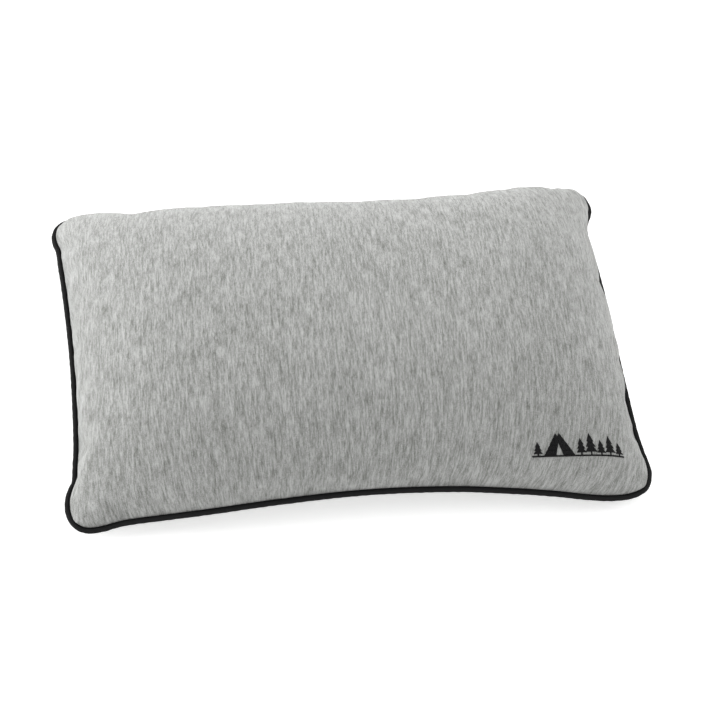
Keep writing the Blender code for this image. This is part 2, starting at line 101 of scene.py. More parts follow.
def setting(kind, **fixed):
    """Makes a user's setting from its name, its description and its default."""
    return lambda name, description, default: kind(name=name, description=description, default=default, **fixed)


length = setting(FloatProperty, unit="LENGTH")
tilt = setting(FloatProperty, unit="ROTATION")
amount = setting(FloatProperty)
whole = setting(IntProperty)
colour = setting(FloatVectorProperty, subtype="COLOR")


class CoverSettings(bpy.types.PropertyGroup):
    crown: length("Crown", "Rise of the top over the seam", 72 * MM)
    end_fullness: amount("End fullness", "How square the crown is along the length", 6.0)
    side_fullness: amount("Side fullness", "How square the crown is across the width", 2.4)
    thickness: length("Jersey", "Thickness of the jersey", 0.8 * MM)
    pressure: amount("Pressure", "Push of the filling", 1.5)
    hold: amount("Hold", "How firmly the filling keeps the middle in place", 0.15)
    stiffness: amount("Stiffness", "Bending stiffness of the jersey", 4.0)
    ease: amount("Ease", "Share of spare cloth that gathers at the seam", 0.03)
    gather_reach: length("Gather reach", "How far the gathers run in from the seam", 50 * MM)
    swell: length("Swell", "Most that the cloth may move as it fills", 12 * MM)
    steps: whole("Steps", "Frames the cloth takes to fill", 20)
    light_fibre: colour("Light fibre", "Lightest fibre of the melange", (0.435, 0.438, 0.43))
    dark_fibre: colour("Dark fibre", "Darkest fibre of the melange", (0.128, 0.133, 0.12))


class PipingSettings(bpy.types.PropertyGroup):
    radius: length("Radius", "Radius of the piping", 2.5 * MM)
    flange: length("Flange", "Reach of the flange into the seam", 8.5 * MM)
    flange_rise: length("Flange rise", "How far the flange's edge stands up inside", 2.5 * MM)
    pucker: length("Pucker", "Depth of the small gathers", 0.16 * MM)
    colour: colour("Colour", "Colour of the bias strip", (0.004, 0.004, 0.0042))


class ZipSettings(bpy.types.PropertyGroup):
    pitch: length("Pitch", "Length of one turn of the coil", 1.3 * MM)
    wire: length("Wire", "Radius of the coil's wire", 0.4 * MM)
    metal: colour("Metal", "Colour of the coated metal", (0.03, 0.03, 0.033))


class TrimSettings(bpy.types.PropertyGroup):
    thread: length("Thread", "Spacing of the satin stitches", 0.42 * MM)
    motif_turn: tilt("Motif turn", "Turn of the motif on the cloth", math.radians(3.3))
    label_length: length("Label", "Hanging length of the care label", 22 * MM)


class StageSettings(bpy.types.PropertyGroup):
    azimuth: tilt("Azimuth", "Camera's turn round the pillow", math.radians(-10.54))
    elevation: tilt("Elevation", "Camera's height angle", math.radians(52.84))
    roll: tilt("Roll", "Camera's roll", math.radians(4.9))
    distance: length("Distance", "Camera to the pillow", 2.964)
    lens: amount("Lens", "Focal length in millimetres", 142.2)
    key_power: amount("Left light", "Power of the left light", 54.0)
    back_power: amount("Back light", "Power of the back light", 50.0)
    fill_power: amount("Fill light", "Power of the fill light", 22.0)
    sky: amount("Sky", "Strength of the even light", 0.69)
    glow: amount("Glow", "Light given off by the floor", 0.42)


# Shader maths


class Value:
    """A shader socket that takes part in sums, so that node maths reads as arithmetic."""

    def __init__(self, tree, socket):
        self.tree, self.socket = tree, socket

    def maths(self, operation, *values):
        node = self.tree.nodes.new("ShaderNodeMath")
        node.operation = operation
        for place, value in zip(node.inputs, values):
            plug(self.tree, place, value)
        return Value(self.tree, node.outputs[0])

    __add__ = __radd__ = lambda self, other: self.maths("ADD", self, other)
    __mul__ = __rmul__ = lambda self, other: self.maths("MULTIPLY", self, other)
    __sub__ = lambda self, other: self.maths("SUBTRACT", self, other)
    __rsub__ = lambda self, other: self.maths("SUBTRACT", other, self)
    __lt__ = lambda self, other: self.maths("LESS_THAN", self, other)
    __gt__ = lambda self, other: self.maths("GREATER_THAN", self, other)
    __abs__ = lambda self: self.maths("ABSOLUTE", self)

    def sine(self):
        return self.maths("SINE", self)

    def fraction(self):
        return self.maths("FRACT", self)

    def clamped(self):
        return self.maths("MINIMUM", self.maths("MAXIMUM", self, 0.0), 1.0)


def plug(tree, place, value):
    """Links a socket to a value's socket, or sets it to a plain value."""
    if isinstance(value, Value):
        tree.links.new(value.socket, place)
    else:
        place.default_value = value


class Finish:
    """A material and its Principled shader, with the nodes that feed it."""

    def __init__(self, name, colour, roughness, metallic=0.0, **constants):
        self.material = bpy.data.materials.new(name)
        self.material.use_nodes = True
        self.tree = self.material.node_tree
        self.shader = self.tree.nodes["Principled BSDF"]
        self.shader.inputs["Base Color"].default_value = (*colour, 1.0)
        self.shader.inputs["Roughness"].default_value = roughness
        self.shader.inputs["Metallic"].default_value = metallic
        for socket, value in constants.items():
            self.shader.inputs[socket.replace("_", " ")].default_value = value

    def node(self, kind, settings=None, sockets=None, output=0):
        node = self.tree.nodes.new(kind)
        for key, value in (settings or {}).items():
            setattr(node, key, value)
        for key, value in (sockets or {}).items():
            plug(self.tree, node.inputs[key], value)
        return Value(self.tree, node.outputs[output])

    def cloth(self, across, along):
        """The piece's own cloth coordinates in metres, each times a scale."""
        flat = self.node("ShaderNodeUVMap", {"uv_map": "cloth"})
        return self.node("ShaderNodeMapping", None, {"Vector": flat, "Scale": (across, along, 1)})

    def place(self, scale):
        """The object's own coordinates in metres, times a scale."""
        solid = self.node("ShaderNodeTexCoord", None, None, "Object")
        return self.node("ShaderNodeMapping", None, {"Vector": solid, "Scale": (scale, scale, scale)})

    def threads(self, width, height):
        """The cloth coordinates counted in threads of this width and height in millimetres."""
        flat = self.cloth(1 / (width * MM), 1 / (height * MM))
        parts = self.node("ShaderNodeSeparateXYZ", None, {"Vector": flat}).socket.node.outputs
        return Value(self.tree, parts[0]), Value(self.tree, parts[1])

    def noise(self, vector, detail=2.0, roughness=0.5, distortion=0.0):
        """Soft noise centred on 0."""
        sockets = {"Vector": vector, "Scale": 1, "Detail": detail}
        sockets |= {"Roughness": roughness, "Distortion": distortion}
        return self.node("ShaderNodeTexNoise", None, sockets) - 0.5

    def mix(self, share, first, second):
        node = self.tree.nodes.new("ShaderNodeMix")
        node.data_type = "RGBA"
        plug(self.tree, node.inputs[0], share)
        for place, shade in ((node.inputs[6], first), (node.inputs[7], second)):
            plug(self.tree, place, shade if isinstance(shade, Value) else (*shade, 1.0))
        return Value(self.tree, node.outputs[2])

    def feed(self, socket, value):
        plug(self.tree, self.shader.inputs[socket], value)

    def tint(self, share, first, second):
        self.feed("Base Color", self.mix(share.clamped(), first, second))

    def roughen(self, value):
        self.feed("Roughness", value.clamped())

    def bump(self, height, depth, strength=1.0):
        sockets = {"Height": height, "Distance": depth, "Strength": strength}
        self.feed("Normal", self.node("ShaderNodeBump", None, sockets))


def melange_jersey(cover):
    """Grey jersey knitted from mixed light and dark fibres, streaked across the pillow."""
    finish = Finish("melange_jersey", (0.28, 0.28, 0.275), 0.95, Sheen_Weight=0.3, Sheen_Roughness=0.5)
    lint = finish.noise(finish.cloth(1500, 1000), 1.0)
    hair = finish.noise(finish.cloth(980, 230), 2.0, 0.6)
    streak = finish.noise(finish.cloth(540, 76), 2.0, 0.55)
    slub = finish.noise(finish.cloth(270, 38), 1.0)
    cloud = finish.noise(finish.cloth(75, 24), 2.0)
    drift = finish.noise(finish.cloth(11, 8), 1.0)
    tone = lint * 1.15 + hair * 1.15 + streak * 1.1 + slub * 0.75 + cloud * 0.5 + drift * 0.12 + 0.5
    melange = finish.mix(tone.clamped(), cover.dark_fibre, cover.light_fibre)
    speck = finish.node("ShaderNodeTexVoronoi", None, {"Vector": finish.cloth(150, 130), "Scale": 1.0})
    chosen = finish.noise(finish.cloth(31, 37), 0.0) > 0.14
    finish.feed("Base Color", finish.mix((speck < 0.10) * chosen * 0.55, melange, (0.06, 0.06, 0.06)))
    across, along = finish.threads(0.95, 0.72)
    wale = abs(across.fraction() - 0.5) * 2
    loop = ((along + wale * 0.5) * math.tau).sine()
    finish.bump(loop * 0.35 - wale * 0.8 + hair * 1.4 + streak * 0.8, 0.22 * MM, 0.6)
    finish.roughen(0.93 - hair * 0.2)
    return finish.material


def bias_strip(black):
    """Black woven cotton cut on the bias, so its threads cross the piping at a slant."""
    finish = Finish("black_piping", black, 0.85, Specular_IOR_Level=0.22)
    across, along = finish.threads(0.55, 0.55)
    weave = ((across + along) * math.pi).sine() * ((across - along) * math.pi).sine()
    lint = finish.noise(finish.cloth(900, 900), 2.0)
    fade = finish.noise(finish.cloth(60, 200), 2.0)
    # The lighter colour is partly real fading and partly painted highlight: the raised threads of the weave are
    # painted lighter.
    faded_and_highlit = tuple(part * 2.2 + 0.002 for part in black)
    finish.tint(weave * 0.3 + lint * 0.9 + fade * 0.6 + 0.35, black, faded_and_highlit)
    finish.bump(weave + lint * 0.8, 0.12 * MM, 0.7)
    finish.roughen(0.82 + lint * 0.2)
    return finish.material


def woven_tape():
    """Black herringbone tape."""
    finish = Finish("zip_tape", (0.012, 0.012, 0.013), 0.8, Specular_IOR_Level=0.3)
    across, along = finish.threads(0.5, 0.8)
    chevron = abs((along * 0.25).fraction() - 0.5) * 8
    weave = ((across + chevron) * math.tau).sine()
    lint = finish.noise(finish.cloth(800, 800), 2.0)
    finish.tint(weave * 0.25 + lint * 0.8 + 0.3, (0.010, 0.010, 0.011), (0.032, 0.032, 0.035))
    finish.bump(weave + lint * 0.5, 0.1 * MM, 0.7)
    return finish.material


def nylon_coil():
    finish = Finish("zip_coil", (0.014, 0.014, 0.016), 0.35)
    scuff = finish.noise(finish.place(900), 2.0)
    finish.roughen(0.36 + scuff * 0.5)
    finish.bump(scuff, 0.03 * MM, 0.4)
    return finish.material


def coated_metal(coat):
    """Die-cast metal with a black coat that has a fine orange peel and a few rubbed spots."""
    finish = Finish("zip_metal", coat, 0.34, 0.85, Coat_Weight=0.3, Coat_Roughness=0.25)
    peel = finish.noise(finish.place(1400), 2.0)
    rub = (finish.noise(finish.place(420), 3.0, 0.7) * 3.0 - 0.25).clamped()
    finish.feed("Base Color", finish.mix(rub * 0.5, coat, (0.16, 0.16, 0.165)))
    finish.roughen(0.33 + peel * 0.25 - rub * 0.08)
    finish.bump(peel, 0.03 * MM, 0.5)
    return finish.material


def stitching(name, dark, light):
    """Twisted thread, with a lit ridge along each turn."""
    finish = Finish(name, dark, 0.5, Specular_IOR_Level=0.2)
    along, across = finish.threads(0.5, 0.6)
    twist = ((along + across) * math.tau).sine()
    lint = finish.noise(finish.place(700), 2.0)
    finish.tint(twist * 0.25 + lint * 0.8 + 0.4, dark, light)
    finish.bump(twist, 0.05 * MM, 0.7)
    finish.roughen(0.48 + lint * 0.3)
    return finish.material


def satin():
    """White satin ribbon with a fine rib."""
    finish = Finish("satin_label", (0.82, 0.82, 0.80), 0.42, Sheen_Weight=0.2, Sheen_Roughness=0.3)
    across, along = finish.threads(0.3, 0.45)
    rib = (along * math.tau).sine() + (across * math.tau).sine() * 0.4
    lint = finish.noise(finish.cloth(300, 900), 2.0)
    finish.tint(lint * 1.2 + 0.5, (0.74, 0.74, 0.72), (0.86, 0.86, 0.85))
    finish.bump(rib + lint * 0.5, 0.05 * MM, 0.6)
    return finish.material


def lining():
    finish = Finish("white_lining", (0.78, 0.78, 0.77), 0.9)
    bond = finish.noise(finish.cloth(420, 420), 3.0, 0.6)
    finish.tint(bond * 1.5 + 0.5, (0.70, 0.70, 0.69), (0.84, 0.84, 0.83))
    finish.bump(bond, 0.15 * MM, 0.6)
    return finish.material


def loose_fibre():
    finish = Finish("fibre", (0.85, 0.85, 0.84), 1.0, Sheen_Weight=0.4, Sheen_Roughness=0.6)
    tuft = finish.noise(finish.place(45), 4.0, 0.65, 1.5)
    finish.tint(tuft * 1.5 + 0.5, (0.74, 0.74, 0.73), (0.90, 0.90, 0.89))
    finish.bump(tuft, 3 * MM, 0.8)
    return finish.material


def cord_twist():
    finish = Finish("cotton_cord", (0.75, 0.72, 0.66), 0.95)
    fluff = finish.noise(finish.place(600), 3.0)
    finish.tint(fluff * 1.4 + 0.5, (0.62, 0.59, 0.53), (0.80, 0.77, 0.71))
    finish.bump(fluff, 0.1 * MM, 0.7)
    return finish.material


# Modelling helpers


def settle(obj, name, material, slot, *nodes, body="pillow"):
    """Names a piece, gives it its material, and tells the frame what it rides on and replaces."""
    obj.name = name
    obj.data.name = name
    obj.data.materials.clear()
    obj.data.materials.append(material)
    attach(obj, body)
    if nodes:
        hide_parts(*nodes)


def pick(*objects):
    """Selects these objects alone, with the first one active."""
    bpy.ops.object.select_all(action="DESELECT")
    for obj in reversed(objects):
        obj.select_set(True)
        bpy.context.view_layer.objects.active = obj


def add_block(size):
    """A block that then cuts, or is grooved or rounded."""
    pick()
    bpy.ops.mesh.primitive_cube_add(size=1.0, location=(0.0, 0.0, 0.0))
    obj = bpy.context.object
    obj.data.transform(Matrix.Diagonal((*size, 1.0)))
    return obj


def add_modifier(obj, kind, **settings):
    modifier = obj.modifiers.new(kind.title(), kind)
    for key, value in settings.items():
        setattr(modifier, key, value)


def thicken(obj, thickness):
    add_modifier(obj, "SOLIDIFY", thickness=thickness, offset=-1.0)


def soften(obj):
    add_modifier(obj, "SUBSURF", levels=1, render_levels=1)


def shape(obj, points):
    obj.data.vertices.foreach_set("co", np.asarray(points, float).reshape(-1))
    obj.data.update()


def points_of(obj):
    points = np.empty(3 * len(obj.data.vertices))
    obj.data.vertices.foreach_get("co", points)
    return points.reshape(-1, 3)


def lay_cloth(obj, flat):
    """Writes the cloth coordinates, one pair in metres for each point."""
    layer = obj.data.uv_layers.active
    layer.name = "cloth"
    corners = np.empty(len(obj.data.loops), dtype=np.int32)
    obj.data.loops.foreach_get("vertex_index", corners)
    layer.uv.foreach_set("vector", np.asarray(flat, float).reshape(-1, 2)[corners].reshape(-1))


def in_edit_mode(obj, *steps):
    """Runs edit-mode operators on the whole of an object."""
    pick(obj)
    bpy.ops.object.mode_set(mode="EDIT")
    bpy.ops.mesh.select_all(action="SELECT")
    for step in steps:
        step()
    bpy.ops.object.mode_set(mode="OBJECT")


def weld(distance=0.001 * MM):
    bpy.ops.mesh.remove_doubles(threshold=distance)


def face_out():
    bpy.ops.mesh.normals_make_consistent(inside=False)


def smooth(obj, degrees=None):
    pick(obj)
    if degrees is None:
        bpy.ops.object.shade_smooth()
    else:
        bpy.ops.object.shade_smooth_by_angle(angle=math.radians(degrees))


def apply_all(obj):
    pick(obj)
    for modifier in list(obj.modifiers):
        bpy.ops.object.modifier_apply(modifier=modifier.name)


def join(pieces):
    pick(*pieces)
    bpy.ops.object.join()
    return pieces[0]


def curve_piece(name, lines, closed, radius=0.0, sides=2, extrude=0.0, flat=False):
    """A mesh made from one or more lines drawn as a curve, as round wire or as a cut plate."""
    curve = bpy.data.curves.new(name, "CURVE")
    curve.dimensions = "2D" if flat else "3D"
    curve.fill_mode = "BOTH" if flat else "FULL"
    curve.bevel_depth = radius
    curve.bevel_resolution = sides
    curve.extrude = extrude
    curve.use_fill_caps = not closed and not flat
    for line in lines:
        spline = curve.splines.new("POLY")
        spline.points.add(len(line) - 1)
        for point, place in zip(spline.points, line):
            point.co = (*place, *([0.0] * (3 - len(place))), 1.0)
        spline.use_cyclic_u = closed
    obj = bpy.data.objects.new(name, curve)
    bpy.context.scene.collection.objects.link(obj)
    pick(obj)
    bpy.ops.object.convert(target="MESH")
    obj = bpy.context.object
    in_edit_mode(obj, weld, face_out)
    return obj


def arc(radius, start, end, steps, centre=(0.0, 0.0)):
    return [
        (centre[0] + radius * math.cos(angle), centre[1] + radius * math.sin(angle))
        for angle in np.radians(np.linspace(start, end, steps + 1))
    ]


# The pillow's form


def smooth_loop(points, steps):
    """Points along a closed curve through all the given points."""
    before, start, end, after = (np.roll(points, -k, axis=0)[:, None, :] for k in (-1, 0, 1, 2))
    t = (np.arange(steps) / steps)[None, :, None]
    once = (end - before) * t
    twice = (2 * before - 5 * start + 4 * end - after) * t**2
    thrice = (3 * start - before - 3 * end + after) * t**3
    return ((2 * start + once + twice + thrice) / 2).reshape(-1, 3)


def seam_sides(steps=24):
    """The piping's centreline and the inward direction along it, for each side."""
    route = np.array([point for side in PIPING_ROUTE.values() for point in side], float) * MM
    line = smooth_loop(route, steps)
    along = np.roll(line, -1, axis=0) - np.roll(line, 1, axis=0)
    inward = np.stack([-along[:, 1], along[:, 0], np.zeros(len(line))], axis=1)
    inward /= np.linalg.norm(inward, axis=1)[:, None]
    sides, start = {}, 0
    for name, points in PIPING_ROUTE.items():
        which = np.arange(start, start + len(points) * steps + 1) % len(line)
        sides[name] = (line[which], inward[which])
        start += len(points) * steps
    return sides


SIDES = seam_sides()


def run_of(line):
    return np.concatenate([[0], np.cumsum(np.linalg.norm(np.diff(line, axis=0), axis=1))])


def side_points(name, shares):
    """Where the panel's edge lies at these shares of a side's length."""
    line, inward = SIDES[name]
    run = run_of(line)
    edge = line + inward * PANEL_INSET
    return np.stack([np.interp(np.asarray(shares) * run[-1], run, row) for row in edge.T], axis=-1)


def patch(u, v):
    """Points of a sheet stretched across the edge of the cover, where u and v run from -1 to 1."""
    s, t = (u + 1) / 2, (v + 1) / 2
    shares = {"front": s, "right": t, "back": 1 - s, "left": 1 - t}
    front, right, back, left = (side_points(name, share) for name, share in shares.items())
    ears = [side_points(name, [0.0])[0] for name in shares]
    s, t = s[:, None], t[:, None]
    across = (1 - t) * front + t * back
    along = (1 - s) * left + s * right
    return across + along - (1 - t) * ((1 - s) * ears[0] + s * ears[1]) - t * (s * ears[2] + (1 - s) * ears[3])


def fullness(u, v, cover):
    """1 at the middle of the pillow, falling to 0 at the seam along upright walls."""
    along = np.sqrt(np.clip(1 - np.abs(u) ** cover.end_fullness, 0, 1))
    across = np.sqrt(np.clip(1 - np.abs(v) ** cover.side_fullness, 0, 1))
    return along * across


def even_steps(power, rise, half, count):
    """Values from -1 to 1 that are evenly spaced along the curve of the crown."""
    t = np.linspace(0, math.pi / 2, 2000)
    u = np.sin(t)
    run = run_of(np.stack([u * half, rise * np.sqrt(1 - u**power)], axis=1))
    ends = np.interp(np.linspace(0, run[-1], count // 2 + 1), run, u)
    return np.concatenate([-ends[:0:-1], ends])


def ironed(values, times):
    """Grid values averaged with their neighbours again and again, with the edge left alone."""
    calm = values.copy()
    for _ in range(times):
        inner = calm[1:-1, 1:-1]
        around = calm[:-2, 1:-1] + calm[2:, 1:-1] + calm[1:-1, :-2] + calm[1:-1, 2:]
        calm[1:-1, 1:-1] = inner * 0.4 + around * 0.15
    return calm


# How far the walls of the top swell out past the seam, in millimetres, along each side.
SWELLS = {
    "right": ([-1, -0.85, -0.7, -0.45, -0.2, 0.2, 0.6, 0.85, 1], [0, -2, -5, -1, 3, 0, 2.5, 12, 0]),
    "left": ([-1, -0.85, -0.6, -0.4, 0.5, 1], [0, -3, -3, 0, 1, 0]),
    "back": (
        [-1, -0.95, -0.85, -0.7, -0.5, -0.3, -0.1, 0.1, 0.3, 0.5, 0.7, 0.85, 0.95, 1],
        [0, 8.5, 0, -7.5, -4, -6, -7, -12.5, -13, -8.5, 0, 0, 9, 0],
    ),
    "front": ([-1, 0, 1], [0, 1.5, 0]),
}


def swell_out(u, v, full):
    """The sideways swelling of the walls."""
    out = {name: np.interp(v if name in ("right", "left") else u, *row) for name, row in SWELLS.items()}
    belly = np.sin(math.pi * np.clip(full, 0, 1)) * MM
    x = np.where(u > 0, out["right"], -out["left"]) * np.abs(u) ** 8 * belly
    y = np.where(v > 0, out["back"], -out["front"]) * np.abs(v) ** 4 * belly
    return x, y


def panel_points(cover, side, columns, rows, inset=PANEL_INSET, shrink=0.0, lift=PANEL_LIFT):
    """The points of the top or the underside, in rows from the front."""
    rise = cover.crown if side == "top" else 35 * MM
    u = even_steps(cover.end_fullness, rise, HALF_LENGTH, columns)
    v = even_steps(cover.side_fullness, rise, HALF_WIDTH, rows)
    u, v = (part.ravel() for part in np.meshgrid(u, v))
    spare = inset - PANEL_INSET
    stretched = patch(u * (1 - spare / HALF_LENGTH), v * (1 - spare / HALF_WIDTH))
    plain = np.stack([u * HALF_LENGTH, v * HALF_WIDTH, u * 0], axis=1)
    points = plain + ironed((stretched - plain).reshape(rows + 1, columns + 1, 3), 120).reshape(-1, 3)
    full = fullness(u, v, cover)
    if side == "top":
        points[:, 2] += lift + (cover.crown - shrink - lift) * full
        x, y = swell_out(u, v, full)
        points[:, 0] += x
        points[:, 1] += y
    else:
        # The front slopes in under the seam, and the back stands nearly upright round the zip.
        points[:, 2] = np.where(v < 0, np.minimum(points[:, 2], stretched[:, 2]), points[:, 2])
        steep = np.clip(v * 2 + 1, 0, 1)
        sunk = steep * np.clip(1 - 1.5 * full, 0, 1) ** 2
        sunk += (1 - steep) * np.clip(1 - (1.5 * full) ** 2, 0, 1) ** 1.3
        points[:, 2] = shrink + (points[:, 2] - lift - shrink) * sunk
    return points.reshape(rows + 1, columns + 1, 3)


def unrolled(points):
    """Cloth coordinates: how far each point lies from the middle along its row and its column."""
    parts = []
    for axis, first in ((1, points[:, :1]), (0, points[:1])):
        step = np.linalg.norm(np.diff(points, axis=axis, prepend=first), axis=2)
        run = np.cumsum(step, axis=axis)
        parts.append(run - np.take(run, [points.shape[axis] // 2], axis=axis))
    return np.stack(parts, axis=-1)


# Drift of the knit's grain across the top, in metres, by the powers of the two cloth coordinates
# as shares of these spans.
GRAIN_SPANS = (0.34, 0.25)
GRAIN = {
    (0, 1): -0.0146, (1, 1): 0.0105, (3, 1): 0.0019, (4, 1): -0.0132, (0, 2): -0.0147, (1, 2): 0.0014,
    (2, 2): 0.0078, (3, 2): -0.019, (0, 3): 0.008, (1, 3): -0.0138, (2, 3): 0.0049, (0, 4): 0.0231,
    (1, 4): 0.0563,
}

# Creases at the ears, in millimetres as seen from above: from x, y to x, y, then depth and width.
CREASES = (
    (262, -200, 288, -176, 2.2, 4.5),
    (250, -198, 270, -187, 1.6, 4.5),
    (-289, -176, -270, -187, 2.4, 6.0),
    (-262, -184, -246, -188, 1.4, 5.0),
    (268, 197, 284, 164, 2.6, 5.5),
    (-283, 162, -272, 128, 1.4, 5.0),
    (277, -150, 288, -132, 1.5, 5.0),
)


def creased(points):
    """The points pressed in along the creases."""
    out = np.cross(np.gradient(points, axis=1), np.gradient(points, axis=0))
    out /= np.maximum(np.linalg.norm(out, axis=2), 1e-12)[:, :, None]
    depth = np.zeros(points.shape[:2])
    for x0, y0, x1, y1, deep, wide in CREASES:
        start, span = np.array([x0, y0]) * MM, np.array([x1 - x0, y1 - y0]) * MM
        share = np.clip(((points[:, :, :2] - start) @ span) / (span @ span), 0, 1)
        gap = np.linalg.norm(points[:, :, :2] - start - share[:, :, None] * span, axis=2)
        depth += np.exp(-((gap / (wide * MM)) ** 2)) * deep * MM * (0.45 + 0.55 * np.sin(math.pi * share))
    depth[[0, -1]] = 0
    depth[:, [0, -1]] = 0
    return points - out * depth[:, :, None]


def with_grain(flat):
    """Cloth coordinates whose lengthwise part follows the drift of the grain."""
    p, q = flat[:, :, 0] / GRAIN_SPANS[0], flat[:, :, 1] / GRAIN_SPANS[1]
    drift = sum(size * p**i * q**j for (i, j), size in GRAIN.items())
    return np.stack([flat[:, :, 0] + drift, flat[:, :, 1]], axis=-1)


def closeness(points, reach):
    """1 at the seam, falling to 0 inside the reach of the seam's gathers."""
    flat = unrolled(points)
    edges = [
        flat[:, :, 0] - flat[:, :1, 0], flat[:, -1:, 0] - flat[:, :, 0],
        flat[:, :, 1] - flat[:1, :, 1], flat[-1:, :, 1] - flat[:, :, 1],
    ]
    return np.clip(1 - np.min(edges, axis=0) / reach, 0, 1)


def inflate(obj, points, held, cover):
    """Lets the filling push the cloth out from its seam, where the spare cloth gathers."""
    near = closeness(points, cover.gather_reach)
    firm = obj.vertex_groups.new(name="firm")
    taut = obj.vertex_groups.new(name="taut")
    for i, (fixed, share) in enumerate(zip(held.ravel(), near.ravel())):
        firm.add([i], 1.0 if fixed else float(cover.hold * (1 - share)), "REPLACE")
        taut.add([i], float(1 - share), "REPLACE")
    modifier = obj.modifiers.new("Cloth", "CLOTH")
    for key, value in {
        "quality": 6, "mass": 0.15, "tension_stiffness": 15, "compression_stiffness": 15,
        "shear_stiffness": 5, "bending_stiffness": cover.stiffness, "vertex_group_mass": "firm",
        "vertex_group_shrink": "taut", "shrink_min": -cover.ease, "shrink_max": 0.0,
        "use_pressure": True, "uniform_pressure_force": cover.pressure,
    }.items():
        setattr(modifier.settings, key, value)
    modifier.settings.effector_weights.gravity = 0.0
    modifier.collision_settings.use_collision = False
    modifier.point_cache.frame_start = 1
    modifier.point_cache.frame_end = cover.steps
    scene = bpy.context.scene
    for step in range(1, cover.steps + 1):
        scene.frame_set(step)
    graph = bpy.context.evaluated_depsgraph_get()
    swollen = points_of(obj.evaluated_get(graph)).reshape(points.shape)
    obj.modifiers.remove(modifier)
    obj.vertex_groups.clear()
    scene.frame_set(1)
    move = swollen - points
    share = np.clip(near * 2.0, 0, 1)[:, :, None]
    move = move * share + ironed(move, 40) * (1 - share)
    reach = np.linalg.norm(move, axis=2)[:, :, None]
    shape(obj, points + move * np.minimum(1, cover.swell / np.maximum(reach, 1e-9)))


# The cover

TOP_GRID = (144, 100)
UNDER_GRID = (120, 84)


def cut_slot(obj):
    """Opens the back wall where the zip shows."""
    knife = add_block((2 * SLOT_HALF, 16 * MM, SLOT_HEIGHT))
    knife.data.transform(ZIP_FRAME @ Matrix.Translation((0.0, 0.0, -CHAIN_DROP)))
    add_modifier(obj, "BOOLEAN", operation="DIFFERENCE", solver="EXACT", object=knife)
    apply_all(obj)
    bpy.data.objects.remove(knife)
    bpy.context.view_layer.update()


def add_panel(side, points, flat=None):
    """A sheet through these points, with its faces turned away from the filling."""
    rows, columns = points.shape[:2]
    pick()
    bpy.ops.mesh.primitive_grid_add(
        x_subdivisions=columns - 1, y_subdivisions=rows - 1, size=2.0, location=(0.0, 0.0, 0.0)
    )
    obj = bpy.context.object
    shape(obj, points)
    if flat is not None:
        lay_cloth(obj, flat)
    if side == "underside":
        in_edit_mode(obj, bpy.ops.mesh.flip_normals)
    return obj


def make_cover(cover):
    jersey = melange_jersey(cover)
    for side, grid in (("top", TOP_GRID), ("underside", UNDER_GRID)):
        points = panel_points(cover, side, *grid)
        flat = unrolled(points)
        held = np.ones(points.shape[:2], bool)
        held[1:-1, 1:-1] = False
        if side == "top":
            points = creased(points)
            obj = add_panel(side, points, with_grain(flat))
        else:
            obj = add_panel(side, points, flat)
            held |= points[:, :, 2] < 0.3 * MM
            held |= (np.abs(points[:, :, 0]) < TAPE_HALF + 6 * MM) & (points[:, :, 1] > 170 * MM)
        inflate(obj, points, held, cover)
        settled = points_of(obj)
        settled[:, 2] = np.maximum(settled[:, 2], 0)
        shape(obj, settled)
        thicken(obj, cover.thickness)
        soften(obj)
        if side == "underside":
            apply_all(obj)
            cut_slot(obj)
        smooth(obj)
        settle(obj, f"jersey_{side}", jersey, "melange_jersey", f"cover_{side}_panel")


# The piping

RING_STEPS = 960

# Waves that gather the piping: size, how many go round the seam, lean round the cord, and start.
GATHERS = ((1.0, 211, 1.6, 0.0), (0.7, 149, -1.1, 1.0), (0.5, 61, 0.0, 2.0))
STRAND_TURNS = 170
STRAND_REACH = 0.72 * MM


def strip_section(piping):
    """Section of the bias strip: round the cord, with its two plies together as the flange."""
    ply = 0.45 * MM
    gap = 0.15 * MM
    inner = piping.radius - ply
    outer_angle = math.degrees(math.asin((gap + ply) / piping.radius))
    inner_angle = math.degrees(math.asin(gap / inner))
    edge, rise = piping.flange, piping.flange_rise
    section = arc(piping.radius, outer_angle, 360 - outer_angle, 16)
    section += [(edge, rise - gap - ply), (edge, rise - gap)]
    section += arc(inner, 360 - inner_angle, inner_angle, 8)
    section += [(edge, rise + gap), (edge, rise + gap + ply)]
    return np.array(section)


